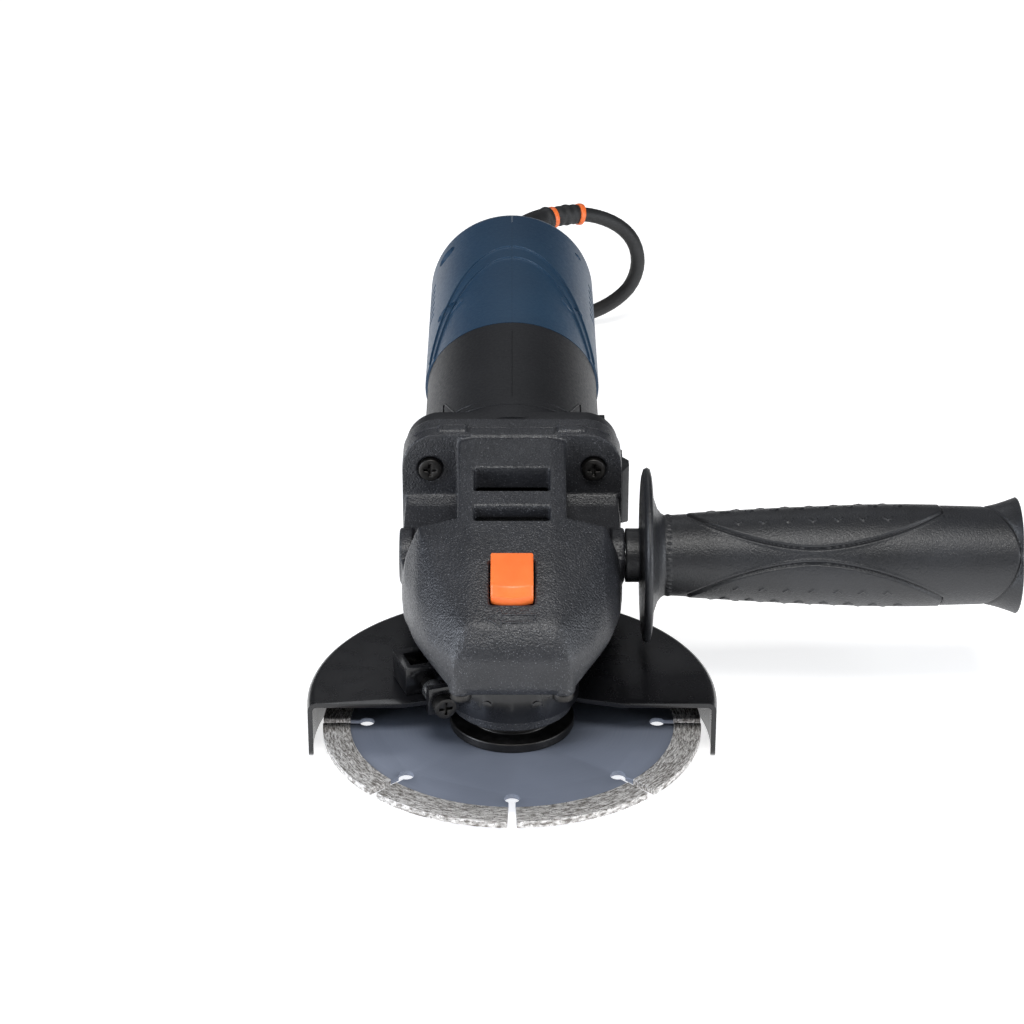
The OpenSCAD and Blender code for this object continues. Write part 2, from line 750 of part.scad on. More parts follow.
module switch_slider() {
    color(black) union() {
        intersection() {
            translate([33.4, 78.4, 0]) linear_extrude(100)
                polygon([[0, 0], [5, 0.6], [7.4, 4], [7.4, 8], [4.4, 12], [4.4, 25], [2.4, 27], [0, 27]]);
            translate([60, 0, 0]) rotate([0, -90, 0]) linear_extrude(60) translate([44, 0]) polygon([[-9, 76], [-11, 82],
                [-11, 100], [-8, 106], [8, 106], [11, 100], [11, 82], [9, 76]]);
        }
        for (i = [0:3]) translate([37.2, 92 + i * 3.1, 36.5]) cube([1.8, 1.4, 15]);
        translate([28.2, 88, motor_z - 5.6]) cube([5.4, 5, 3.2]);
    }
}

module switch_rod() {
    color(steel) translate([27.4, 88, motor_z - 5.4]) cube([0.8, 95, 2.8]);
}

module switch_body() {
    color(black) difference() {
        translate([9, 190, motor_z - 9]) cube([16, 30, 18]);
        translate([26, 186, motor_z - 5.7]) cube([4, 20, 3.4]);
    }
}

module noise_capacitor() {
    color("#c8b23a") translate([-22, 200, motor_z - 8]) cube([12, 22, 16]);
}

module cord_clamp() {
    color(black) translate([-12, 238, motor_z + 4.4]) cube([24, 7, 3.4]);
}

module clamp_bar_screws() {
    color(steel) for (s = [-1, 1]) translate([s * 9, 241.5, motor_z + 7.8]) {
        cylinder(r = 2.6, h = 2);
    }
}

// --- Side handle -----------------------------------------------------------

module handle_grip() {
    color(black) translate([0, handle_y, handle_z]) rotate([0, 90, 0]) difference() {
        union() {
            translate([0, 0, 37.8]) cylinder(r = 9, h = 6);
            translate([0, 0, 42.6]) cylinder(r1 = 28.2, r2 = 29.4, h = 1.6);
            translate([0, 0, 44.15]) cylinder(r1 = 29.4, r2 = 26, h = 3);
            translate([0, 0, 47]) cylinder(r1 = 16, r2 = 13.5, h = 4);
            translate([0, 0, 50.9]) cylinder(r1 = 13.5, r2 = 14.6, h = 20);
            translate([0, 0, 70.8]) cylinder(r1 = 14.6, r2 = 16.6, h = 44);
            translate([0, 0, 114.7]) cylinder(r1 = 16.6, r2 = 16.2, h = 42);
            translate([0, 0, 156.6]) cylinder(r1 = 16.2, r2 = 19.6, h = 8.5);
            translate([0, 0, 165]) cylinder(r1 = 19.6, r2 = 18.4, h = handle_end_x - 165);
        }
        translate([0, 0, 30]) cylinder(r = 4, h = 35);
    }
}

module handle_pads() {
    color("#1b1c1e") for (s = [-1, 1]) translate([0, handle_y, handle_z]) intersection() {
        rotate([0, 90, 0]) difference() {
            union() {
                translate([0, 0, 60]) cylinder(r1 = 15.2, r2 = 17.2, h = 45);
                translate([0, 0, 105]) cylinder(r = 17.2, h = 38);
            }
            translate([0, 0, 50.9]) cylinder(r1 = 13.5, r2 = 14.6, h = 20);
            translate([0, 0, 70.8]) cylinder(r1 = 14.6, r2 = 16.6, h = 44);
            translate([0, 0, 114.7]) cylinder(r1 = 16.6, r2 = 16.2, h = 42);
        }
        translate([101.5, 0, s * 62]) rotate([90, 0, 0]) translate([0, 0, -60]) cylinder(r = 58, h = 120, $fn = 96);
    }
}

module handle_stud() {
    color(steel) rod_x(4, 39.2, 25, handle_y, handle_z);
}

// --- Cord ------------------------------------------------------------------

boot_path = [[0, 262, 48], [0, 270, 48], [0, 282, 48], [0, 296, 48], [0, 308, 48], [0.6, 318, 48], [2.8, 327, 48],
    [7, 335, 48], [11.5, 340.6, 48], [16, 344, 48]];

module cord_boot() {
    color(black) {
        rod_y(10, 6, cover_end_y - 11.9);
        rod_y(7.1, 14, cover_end_y - 12);
        swept_tube(boot_path, 6.6, 24, 4.6);
    }
}

tail_route = [[18.6, 246, 6.3], [18.5, 256, 6.8], [17.8, 266, 8.8], [16.2, 276, 12.2], [13.8, 286, 16],
    [11.4, 294, 18.8], [10, 300, 20.6]];

module cord() {
    color(black) {
        swept_tube(cord_route, cord_r);
        swept_tube(tail_route, cord_r);
    }
}

module cord_sleeve() {
    color(black) swept_tube([cord_route[0], cord_route[1], cord_route[2]], cord_r + 1.1, 12);
}

module cord_rings() {
    color(orange) for (i = [0, 2]) {
        d = unit(cord_route[i + 1] - cord_route[i]);
        swept_tube([cord_route[i], cord_route[i] + 2.4 * d], cord_r + 1.5, 12);
    }
}

module hank_outline(r) {
    for (s = [-1, 1]) translate([0, s * hank_straight / 2]) circle(r);
    square([2 * r, hank_straight], center = true);
}

module cord_hank() {
    color(black) translate([0, hank_y, floor_z]) linear_extrude(hank_height) hank_outline(hank_r);
}

module hank_tie() {
    color("#d8d8d4") translate([0, hank_y - 8, floor_z]) difference() {
        translate([-hank_r - 1, -4, 0]) cube([2 * hank_r + 2, 8, hank_height + 0.8]);
        translate([-hank_r, -6, -1]) cube([2 * hank_r, 12, hank_height + 1]);
    }
}

plug_mid = [10, 300, 21.6];

module plug_body() {
    color(black) union() {
        translate(plug_mid) rotate([-90, 0, 0]) cylinder(r1 = 5, r2 = 9, h = 14);
        translate(plug_mid + [-17, 13, -12]) cube([34, 28, 24]);
    }
}

module plug_pins() {
    color(steel) for (s = [-1, 1]) translate(plug_mid + [s * 9.5, 41, 0]) rotate([-90, 0, 0]) cylinder(r = 2.4, h = 19);
}

gear_case();
bearing_box();
bearing_box_screws();
spindle();
ring_gear();
spindle_bearing();
bearing_retainer();
needle_bearing();
inner_flange();
disc_core();
disc_segments();
flange_nut();
lock_button();
lock_pin();
lock_spring();
guard();
guard_band();
clamp_screw();
clamp_nut();
motor_housing();
housing_screws();
rear_cover_left();
rear_cover_right();
cover_screws();
armature_shaft();
armature_core();
armature_windings();
commutator();
cooling_fan();
pinion();
pinion_nut();
front_bearing();
rear_bearing();
bearing_sleeve();
stator_core();
field_coils();
air_baffle();
brush_holders();
carbon_brushes();
brush_springs();
switch_slider();
switch_rod();
switch_body();
noise_capacitor();
cord_clamp();
clamp_bar_screws();
handle_grip();
handle_pads();
handle_stud();
cord_boot();
cord();
cord_sleeve();
cord_rings();
cord_hank();
hank_tie();
plug_body();
plug_pins();
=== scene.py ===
"""A corded angle grinder with a segmented disc, guard and side handle, in a pale studio."""
import json
import math

import bmesh
import bpy
import numpy as np
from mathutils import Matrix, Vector
from mathutils.bvhtree import BVHTree


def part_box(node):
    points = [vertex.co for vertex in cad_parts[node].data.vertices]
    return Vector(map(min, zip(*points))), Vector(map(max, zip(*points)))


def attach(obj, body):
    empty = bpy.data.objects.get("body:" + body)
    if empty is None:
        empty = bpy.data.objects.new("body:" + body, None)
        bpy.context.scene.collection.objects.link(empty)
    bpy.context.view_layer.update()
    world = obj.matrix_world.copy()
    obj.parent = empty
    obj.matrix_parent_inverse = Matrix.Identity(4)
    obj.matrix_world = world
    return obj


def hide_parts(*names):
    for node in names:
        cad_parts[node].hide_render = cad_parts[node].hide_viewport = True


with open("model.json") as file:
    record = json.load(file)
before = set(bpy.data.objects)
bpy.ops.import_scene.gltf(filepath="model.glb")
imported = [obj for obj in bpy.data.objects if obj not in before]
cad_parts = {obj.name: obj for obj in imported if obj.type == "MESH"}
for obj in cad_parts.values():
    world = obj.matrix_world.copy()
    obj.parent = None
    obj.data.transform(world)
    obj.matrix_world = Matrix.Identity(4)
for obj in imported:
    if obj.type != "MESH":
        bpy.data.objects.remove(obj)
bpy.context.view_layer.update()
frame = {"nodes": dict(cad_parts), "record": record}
record = frame["record"]
SLOT_OF = {part["node"]: part["material_slot"] for part in record["subparts"]}
BODY_OF = {n: body for body, nodes in record["behaviour"]["bodies"].items() for n in nodes}
MM = 0.001

# The places that the frame gives, in millimetres
MOTOR_Z = 48.0
HANDLE_Y, HANDLE_Z = 31.0, 46.0
FLOOR_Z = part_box("guard")[0].z
CORD_D = 6.2


# --- Camera and studio -------------------------------------------------------

def studio():
    cam = bpy.data.objects.new("camera", bpy.data.cameras.new("camera"))
    bpy.context.scene.collection.objects.link(cam)
    pitch = math.radians(26.3)
    cam.location = (0.0, -0.8389, 0.492)
    cam.rotation_euler = (math.pi / 2 - pitch, 0, 0)
    cam.data.sensor_width = 36
    cam.data.lens = 103.0
    cam.data.clip_start = 0.05
    bpy.context.scene.camera = cam

    def area(name, place, aim, size, power, tint):
        light = bpy.data.objects.new(name, bpy.data.lights.new(name, "AREA"))
        light.data.shape = "RECTANGLE"
        light.data.size, light.data.size_y = size
        light.data.energy = power
        light.data.color = tint
        light.location = place
        light.rotation_euler = (Vector(aim) - Vector(place)).to_track_quat("-Z", "Y").to_euler()
        bpy.context.scene.collection.objects.link(light)

    area("key", (0.05, -0.5, 1.1), (0, 0.03, 0.04), (0.6, 0.4), 9, (1, 0.99, 0.97))
    area("left_strip", (-0.85, -0.35, 0.25), (0, 0.06, 0.05), (0.3, 0.9), 9, (0.84, 0.9, 1))
    area("right_strip", (0.9, -0.4, 0.3), (0.05, 0.05, 0.05), (0.3, 0.7), 5, (0.9, 0.94, 1))
    area("back_top", (-0.1, 0.9, 0.9), (0, 0.15, 0.05), (0.7, 0.3), 1.2, (0.95, 0.97, 1))

    world = bpy.data.worlds.new("studio")
    world.use_nodes = True
    world.node_tree.nodes["Background"].inputs["Color"].default_value = (0.93, 0.95, 1, 1)
    world.node_tree.nodes["Background"].inputs["Strength"].default_value = 0.1
    bpy.context.scene.world = world
    bpy.context.scene.view_settings.view_transform = "Standard"

    side = 3.0
    mesh = bpy.data.meshes.new("floor")
    corners = [(-side, -side, FLOOR_Z), (side, -side, FLOOR_Z), (side, side, FLOOR_Z), (-side, side, FLOOR_Z)]
    mesh.from_pydata(corners, [], [(0, 1, 2, 3)])
    floor = bpy.data.objects.new("floor", mesh)
    bpy.context.scene.collection.objects.link(floor)
    paint = bpy.data.materials.new("floor")
    paint.use_nodes = True
    paint.node_tree.nodes["Principled BSDF"].inputs["Base Color"].default_value = (0.86, 0.86, 0.86, 1)
    paint.node_tree.nodes["Principled BSDF"].inputs["Roughness"].default_value = 0.9
    paint.node_tree.nodes["Principled BSDF"].inputs["Emission Color"].default_value = (1, 1, 1, 1)
    paint.node_tree.nodes["Principled BSDF"].inputs["Emission Strength"].default_value = 0.7
    mesh.materials.append(paint)


# --- Materials ---------------------------------------------------------------

class Shader:
    """A Principled material in object space, with short calls for its nodes."""

    def __init__(self, name, color, rough, metal=0.0, coat=0.0, specular=0.5):
        self.mat = bpy.data.materials.new(name)
        self.mat.use_nodes = True
        self.tree = self.mat.node_tree
        self.bsdf = self.tree.nodes["Principled BSDF"]
        self.bsdf.inputs["Base Color"].default_value = (*color, 1)
        self.bsdf.inputs["Roughness"].default_value = rough
        self.bsdf.inputs["Metallic"].default_value = metal
        self.bsdf.inputs["Coat Weight"].default_value = coat
        self.bsdf.inputs["Coat Roughness"].default_value = 0.12
        self.bsdf.inputs["Specular IOR Level"].default_value = specular
        self.place = self.node("ShaderNodeTexCoord").outputs["Object"]
        self.color, self.rough = color, rough

    def node(self, kind, **settings):
        made = self.tree.nodes.new(kind)
        for key, value in settings.items():
            setattr(made, key, value)
        return made

    def link(self, out, into):
        self.tree.links.new(out, into)

    def noise(self, scale, detail=3.0, vector=None):
        made = self.node("ShaderNodeTexNoise")
        made.inputs["Scale"].default_value = scale
        made.inputs["Detail"].default_value = detail
        self.link(vector or self.place, made.inputs["Vector"])
        return made.outputs["Fac"]

    def math(self, operation, a, b=0.0, clamp=False):
        made = self.node("ShaderNodeMath", operation=operation, use_clamp=clamp)
        for value, socket in ((a, made.inputs[0]), (b, made.inputs[1])):
            if isinstance(value, (int, float)):
                socket.default_value = value
            else:
                self.link(value, socket)
        return made.outputs[0]

    def span(self, value, low, high, out_low, out_high):
        made = self.node("ShaderNodeMapRange")
        for socket, number in zip(("From Min", "From Max", "To Min", "To Max"), (low, high, out_low, out_high)):
            made.inputs[socket].default_value = number
        self.link(value, made.inputs["Value"])
        return made.outputs["Result"]

    def mix(self, factor, a, b):
        made = self.node("ShaderNodeMix", data_type="RGBA")
        self.link(factor, made.inputs["Factor"])
        for value, socket in ((a, made.inputs[6]), (b, made.inputs[7])):
            if isinstance(value, tuple):
                socket.default_value = (*value, 1)
            else:
                self.link(value, socket)
        return made.outputs[2]

    def bump(self, height, strength, distance):
        made = self.node("ShaderNodeBump")
        made.inputs["Strength"].default_value = strength
        made.inputs["Distance"].default_value = distance
        self.link(height, made.inputs["Height"])
        if self.bsdf.inputs["Normal"].links:
            self.link(self.bsdf.inputs["Normal"].links[0].from_socket, made.inputs["Normal"])
        self.link(made.outputs["Normal"], self.bsdf.inputs["Normal"])

    def mottle(self, scale, darker, lighter, low=0.3, high=0.7):
        """Colour that drifts between two tones."""
        self.tone = self.mix(self.span(self.noise(scale), low, high, 0, 1), darker, lighter)
        self.link(self.tone, self.bsdf.inputs["Base Color"])

    def vary_rough(self, scale, low, high):
        self.link(self.span(self.noise(scale, 4), 0.3, 0.7, low, high), self.bsdf.inputs["Roughness"])

    def worn_edges(self, bare, start=0.54, full=0.62):
        """Edges rubbed to a lighter tone, broken up by noise."""
        edge = self.span(self.node("ShaderNodeNewGeometry").outputs["Pointiness"], start, full, 0, 1)
        patchy = self.span(self.noise(600, 4), 0.42, 0.6, 0, 1)
        self.tone = self.mix(self.math("MULTIPLY", edge, patchy, clamp=True), self.tone, bare)
        self.link(self.tone, self.bsdf.inputs["Base Color"])


def black_powder_coat():
    s = Shader("black_powder_coat", (0.016, 0.017, 0.02), 0.42, specular=0.6)
    s.mottle(60, (0.012, 0.013, 0.016), (0.022, 0.023, 0.027))
    # Painted highlights: fine specks lightened towards grey stand in for the sparkle that light raises on the powder
    # coat.
    painted_glint = s.span(s.noise(2600, 1), 0.66, 0.74, 0, 1)
    s.tone = s.mix(painted_glint, s.tone, (0.16, 0.165, 0.18))
    s.link(s.tone, s.bsdf.inputs["Base Color"])
    s.worn_edges((0.07, 0.07, 0.075))
    s.vary_rough(1500, 0.3, 0.52)
    s.bump(s.noise(1500, 2), 0.55, 0.0005)
    s.bump(s.noise(240, 2), 0.25, 0.0006)
    return s.mat


def black_plastic():
    s = Shader("black_plastic", (0.01, 0.0105, 0.012), 0.5, specular=0.36)
    s.mottle(30, (0.008, 0.0085, 0.01), (0.012, 0.0125, 0.0145))
    s.vary_rough(900, 0.42, 0.56)
    s.bump(s.noise(3200, 2), 0.18, 0.0002)
    return s.mat


def handle_plastic():
    s = Shader("handle_plastic", (0.013, 0.0135, 0.016), 0.4, specular=0.55)
    s.mottle(45, (0.01, 0.0105, 0.012), (0.018, 0.019, 0.022))
    s.vary_rough(1100, 0.34, 0.5)
    s.bump(s.noise(1700, 3), 0.45, 0.0004)
    return s.mat


def blue_plastic():
    s = Shader("blue_plastic", (0.014, 0.046, 0.092), 0.42, specular=0.42)
    s.mottle(26, (0.012, 0.04, 0.082), (0.016, 0.051, 0.1))
    s.vary_rough(700, 0.38, 0.48)
    s.bump(s.noise(3000, 2), 0.2, 0.0002)
    return s.mat


def orange_plastic():
    s = Shader("orange_plastic", (0.95, 0.19, 0.04), 0.38)
    s.mottle(120, (0.93, 0.175, 0.035), (0.97, 0.205, 0.045))
    s.vary_rough(800, 0.32, 0.45)
    s.bump(s.noise(2500, 2), 0.12, 0.0002)
    s.bsdf.inputs["Subsurface Weight"].default_value = 0.08
    s.bsdf.inputs["Subsurface Radius"].default_value = (0.002, 0.001, 0.0005)
    return s.mat


def gloss_black_steel():
    s = Shader("gloss_black_steel", (0.006, 0.006, 0.007), 0.3, coat=0.35, specular=0.35)
    s.mottle(70, (0.005, 0.005, 0.006), (0.0075, 0.0075, 0.009))
    s.vary_rough(160, 0.24, 0.34)
    s.bump(s.noise(300, 2), 0.03, 0.0003)
    return s.mat


def steel(name, color, rough, grain):
    s = Shader(name, color, rough, metal=1.0)
    s.mottle(220, tuple(c * 0.8 for c in color), tuple(min(1, c * 1.12) for c in color))
    stretch = s.node("ShaderNodeMapping")
    stretch.inputs["Scale"].default_value = (1, 1, 14)
    s.link(s.place, stretch.inputs["Vector"])
    s.link(s.span(s.noise(grain, 3, stretch.outputs[0]), 0.3, 0.7, rough - 0.08, rough + 0.12), s.bsdf.inputs["Roughness"])
    s.bump(s.noise(grain, 2, stretch.outputs[0]), 0.08, 0.0002)
    return s.mat


def polar(s):
    """Radius and turn about the spindle, for marks left by turning."""
    parts = s.node("ShaderNodeSeparateXYZ")
    s.link(s.place, parts.inputs[0])
    x, y = parts.outputs["X"], parts.outputs["Y"]
    radius = s.math("SQRT", s.math("ADD", s.math("MULTIPLY", x, x), s.math("MULTIPLY", y, y)))
    return radius, s.math("ARCTAN2", y, x), parts.outputs["Z"]


def disc_steel():
    s = Shader("disc_steel", (0.19, 0.215, 0.27), 0.42, metal=0.25, specular=0.5)
    s.mottle(30, (0.175, 0.198, 0.252), (0.205, 0.23, 0.29))
    radius, turn, _ = polar(s)
    around = s.node("ShaderNodeCombineXYZ")
    s.link(s.math("MULTIPLY", radius, 1600), around.inputs["X"])
    s.link(s.math("MULTIPLY", turn, 1.2), around.inputs["Y"])
    rings = s.noise(1, 3, around.outputs[0])
    s.link(s.span(rings, 0.3, 0.7, 0.36, 0.5), s.bsdf.inputs["Roughness"])
    s.bump(rings, 0.06, 0.0002)
    return s.mat


def diamond_segment():
    """Sintered metal ground in the direction of travel, with grains that stand out."""
    s = Shader("diamond_segment", (0.3, 0.28, 0.26), 0.45, metal=0.35)
    radius, turn, height = polar(s)
    around = s.node("ShaderNodeCombineXYZ")
    s.link(s.math("MULTIPLY", radius, 2400), around.inputs["X"])
    s.link(s.math("MULTIPLY", turn, 26), around.inputs["Y"])
    s.link(s.math("MULTIPLY", height, 900), around.inputs["Z"])
    streaks = s.noise(1, 6, around.outputs[0])
    grit = s.noise(1900, 4)
    s.tone = s.mix(s.span(streaks, 0.36, 0.62, 0, 1), (0.16, 0.145, 0.13), (0.8, 0.78, 0.76))
    s.tone = s.mix(s.span(grit, 0.56, 0.7, 0, 1), s.tone, (0.05, 0.045, 0.042))
    s.link(s.tone, s.bsdf.inputs["Base Color"])
    s.link(s.span(grit, 0.3, 0.7, 0.32, 0.62), s.bsdf.inputs["Roughness"])
    s.bump(streaks, 0.7, 0.0005)
    s.bump(grit, 0.5, 0.0004)
    return s.mat


def simple(name, color, rough, metal=0.0, scale=400, bump=0.15, spread=0.15):
    s = Shader(name, color, rough, metal=metal)
    s.mottle(scale / 6, tuple(c * (1 - spread) for c in color), tuple(min(1, c * (1 + spread)) for c in color))
    s.vary_rough(scale, rough - 0.06, rough + 0.08)
    s.bump(s.noise(scale * 3, 2), bump, 0.0003)
    return s.mat


def make_materials():
    return {
        "black_powder_coat": black_powder_coat(),
        "black_plastic": black_plastic(),
        "blue_plastic": blue_plastic(),
        "orange_plastic": orange_plastic(),
        "gloss_black_steel": gloss_black_steel(),
        "disc_steel": disc_steel(),
        "diamond_segment": diamond_segment(),
        "machined_steel": steel("machined_steel", (0.56, 0.57, 0.58), 0.3, 300),
        "black_oxide_steel": steel("black_oxide_steel", (0.06, 0.058, 0.056), 0.42, 500),
        "cast_aluminium": simple("cast_aluminium", (0.17, 0.175, 0.185), 0.5, 0.6, 700, 0.3),
        "electrical_steel": simple("electrical_steel", (0.25, 0.26, 0.28), 0.45, 0.9, 900, 0.2),
        "copper": simple("copper", (0.68, 0.27, 0.13), 0.34, 1.0, 1200, 0.3),
        "brass": simple("brass", (0.72, 0.52, 0.22), 0.28, 1.0, 500, 0.1),
        "carbon": simple("carbon", (0.02, 0.02, 0.021), 0.6, 0.2, 900, 0.3),
        "capacitor_film": simple("capacitor_film", (0.72, 0.5, 0.05), 0.3, 0.0, 200, 0.1),
        "black_rubber": simple("black_rubber", (0.014, 0.0145, 0.0155), 0.55, 0.0, 600, 0.25, 0.25),
        "tie_wrap": simple("tie_wrap", (0.72, 0.72, 0.7), 0.45, 0.0, 500, 0.12, 0.06),
    }


# --- Mesh helpers ------------------------------------------------------------

def new_object(name, mesh):
    obj = bpy.data.objects.new(name, mesh)
    bpy.context.scene.collection.objects.link(obj)
    return obj


def finish_piece(obj, node, replaced=None, material=None, smooth_angle=35):
    """Shades, paints and mounts a piece that stands for a CAD node."""
    obj.data.shade_smooth()
    obj.data.set_sharp_from_angle(angle=math.radians(smooth_angle))
    obj.data.materials.clear()
    obj.data.materials.append(material or MATERIALS[SLOT_OF[node]])
    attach(obj, BODY_OF[node])
    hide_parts(*(replaced or [node]))
    return obj


def grid_mesh(name, points, wrap=True, caps=True):
    """A tube of quads from rings of points, shape (rings, points per ring, 3), closed at both ends."""
    rings, per = points.shape[:2]
    index = np.arange(rings * per).reshape(rings, per)
    across = np.roll(index, -1, axis=1) if wrap else index[:, 1:]
    near = index if wrap else index[:, :-1]
    quads = np.stack([near[:-1], across[:-1], across[1:], near[1:]], axis=-1).reshape(-1, 4)
    faces = quads.tolist()
    if caps:
        faces += [index[0, ::-1].tolist(), index[-1].tolist()]
    mesh = bpy.data.meshes.new(name)
    mesh.from_pydata(points.reshape(-1, 3).tolist(), [], faces)
    mesh.update()
    return mesh


def tidy_copy(node):
    """The CAD node's own shape as a clean bmesh, with split corners joined and flat faces whole."""
    bm = bmesh.new()
    bm.from_mesh(frame["nodes"][node].data)
    bmesh.ops.remove_doubles(bm, verts=bm.verts, dist=0.002 * MM)
    bmesh.ops.dissolve_limit(bm, angle_limit=math.radians(0.6), verts=bm.verts, edges=bm.edges)
    return bm


def refine(node, bevel=0.25, segments=2, angle=35, smooth_angle=35, material=None):
    """Rebuilds a machined or moulded CAD node with its edges broken, as real edges are."""
    bm = tidy_copy(node)
    sharp = [e for e in bm.edges if len(e.link_faces) == 2 and e.calc_face_angle(0) > math.radians(angle)]
    bmesh.ops.bevel(bm, geom=sharp, offset=bevel * MM, segments=segments, profile=0.5, affect="EDGES", clamp_overlap=True)
    bmesh.ops.triangulate(bm, faces=[f for f in bm.faces if len(f.verts) > 4])
    mesh = bpy.data.meshes.new(node + "_shape")
    bm.to_mesh(mesh)
    bm.free()
    return finish_piece(new_object(node + "_shape", mesh), node, material=material, smooth_angle=smooth_angle)


def true_rounds(obj, centre, axis):
    """Gives the facets of a round wall the normal of the true round, so that they don't show."""
    mesh = obj.data
    corners = len(mesh.loops)
    normal = np.empty(corners * 3, np.float32)
    mesh.corner_normals.foreach_get("vector", normal)
    vert = np.empty(corners, np.int32)
    mesh.loops.foreach_get("vertex_index", vert)
    place = np.empty(len(mesh.vertices) * 3, np.float32)
    mesh.vertices.foreach_get("co", place)
    face = np.empty(len(mesh.polygons) * 3, np.float32)
    mesh.polygons.foreach_get("normal", face)
    size = np.empty(len(mesh.polygons), np.int32)
    mesh.polygons.foreach_get("loop_total", size)
    normal, face = normal.reshape(-1, 3), np.repeat(face.reshape(-1, 3), size, axis=0)
    out = place.reshape(-1, 3)[vert] - np.array(centre, np.float32) * MM
    out -= np.outer(out @ np.array(axis, np.float32), axis)
    out /= np.maximum(np.linalg.norm(out, axis=1), 1e-9)[:, None]
    facing = np.einsum("ij,ij->i", out, face)
    on_round = np.abs(facing) > math.cos(math.radians(3.4))
    normal[on_round] = out[on_round] * np.sign(facing[on_round])[:, None]
    mesh.normals_split_custom_set(normal.tolist())


def apply_modifiers(obj):
    graph = bpy.context.evaluated_depsgraph_get()
    graph.update()
    mesh = bpy.data.meshes.new_from_object(obj.evaluated_get(graph))
    obj.modifiers.clear()
    obj.data = mesh


def sweep(name, route, radii, sides=32):
    """A round tube along a smooth route, in millimetres, with a radius at each point."""
    route = np.asarray(route, float)
    along = np.gradient(route, axis=0)
    along /= np.linalg.norm(along, axis=1)[:, None]
    side = np.cross(along, [0.0, 0.02, 1.0])
    side /= np.linalg.norm(side, axis=1)[:, None]
    up = np.cross(side, along)
    turn = np.linspace(0, 2 * np.pi, sides, endpoint=False)
    ring = np.cos(turn)[None, :, None] * side[:, None] + np.sin(turn)[None, :, None] * up[:, None]
    points = route[:, None] + np.asarray(radii, float)[:, None, None] * ring
    return grid_mesh(name, points * MM)


def smooth_route(points, step=1.0):
    """Catmull-Rom through the points, about one step apart."""
    points = np.asarray(points, float)
    padded = np.vstack([2 * points[0] - points[1], points, 2 * points[-1] - points[-2]])
    out = []
    for a, b, c, d in zip(padded, padded[1:], padded[2:], padded[3:]):
        count = max(2, int(np.linalg.norm(c - b) / step))
        t = np.linspace(0, 1, count, endpoint=False)[:, None]
        out.append(0.5 * ((2 * b) + (c - a) * t + (2 * a - 5 * b + 4 * c - d) * t**2 + (3 * b - a - 3 * c + d) * t**3))
    return np.vstack(out + [points[-1:]])


def ease(t):
    t = np.clip(t, 0, 1)
    return t * t * (3 - 2 * t)


def add_mesh(obj, extra):
    """Joins a mesh to an object's own, as one more closed shell."""
    bm = bmesh.new()
    bm.from_mesh(obj.data)
    bm.from_mesh(extra)
    bm.to_mesh(obj.data)
    bm.free()


def ridge(obj, route, radius):
    """A thin moulded line along a route on the surface, in millimetres."""
    fine = smooth_route(route, 0.6) if len(route) > 2 else np.linspace(route[0], route[1], 40)
    add_mesh(obj, sweep("ridge", fine, np.full(len(fine), radius), 8))


def around_motor(radius, points):
    """Points on the round housings from pairs of distance along Y and degrees from the top."""
    return [(radius * math.sin(math.radians(a)), y, MOTOR_Z + radius * math.cos(math.radians(a))) for y, a in points]


def onto(obj, points, push=0.0):
    """Drops points in X and Y on to the top of an object, in millimetres."""
    tree = BVHTree.FromObject(obj, bpy.context.evaluated_depsgraph_get())
    out = []
    for x, y in points:
        hit = tree.ray_cast(Vector((x * MM, y * MM, 0.12)), Vector((0, 0, -1)))[0]
        out.append((x, y, hit.z / MM + push))
    return out


# --- Cord --------------------------------------------------------------------

BOOT_PATH = [(0, 262, 48), (0, 270, 48), (0, 282, 48), (0, 296, 48), (0, 308, 48), (0.6, 318, 48), (2.8, 327, 48),
             (7, 335, 48), (11.5, 340.6, 48), (16, 344, 48)]
LEAD = [(16, 344, 48), (22, 347.5, 48), (28, 350.5, 47.4), (34, 353, 46), (40, 355, 43.6), (46, 356.5, 40),
        (51, 357.5, 35), (54, 358, 29), (55, 358.3, 22.5), (54, 358.5, 16), (51, 358.8, 9.8), (46, 359, 4.6),
        (40, 359, 0.6), (33, 359, -2.4), (26, 359, -4.4), (19, 359, -5.5), (14, 359, -5.8)]
TAIL = [(18.6, 246, 6.3), (18.5, 256, 6.8), (17.8, 266, 8.8), (16.2, 276, 12.2), (13.8, 286, 16), (11.4, 294, 18.8),
        (10, 300, 20.6)]
HANK_FRONT, HANK_REAR = 241.2, 334.2
HANK_INNER, HANK_OUTER = 3 * CORD_D, 4 * CORD_D


def hank_route():
    """Six turns in two columns and three layers. Each change of column or layer has its own stretch of a run."""
    floor = FLOOR_Z / MM + CORD_D / 2
    layer = [floor + i * CORD_D for i in range(3)]
    states = [(HANK_OUTER, layer[0]), (HANK_INNER, layer[0]), (HANK_INNER, layer[1]), (HANK_OUTER, layer[1]),
              (HANK_OUTER, layer[2]), (HANK_INNER, layer[2])]
    changes = [(313, 331), (300, 318), (288, 306), (275, 293), (262, 282)]
    route = []
    for turn, (r, z) in enumerate(states):
        for a in np.radians(np.arange(90, 180, 12)):
            route.append((r * math.cos(a), HANK_REAR + r * math.sin(a), z))
        for y in np.linspace(HANK_REAR, HANK_FRONT, 12)[:-1]:
            route.append((-r, y, z))
        for a in np.radians(np.arange(180, 360, 12)):
            route.append((r * math.cos(a), HANK_FRONT + r * math.sin(a), z))
        if turn == len(states) - 1:
            break
        next_r, next_z = states[turn + 1]
        for y in np.linspace(HANK_FRONT, HANK_REAR, 32)[:-1]:
            t = float(ease((y - changes[turn][0]) / (changes[turn][1] - changes[turn][0])))
            route.append((r + (next_r - r) * t, y, z + (next_z - z) * t))
        for a in np.radians(np.arange(0, 90, 12)):
            route.append((next_r * math.cos(a), HANK_REAR + next_r * math.sin(a), next_z))
    return route


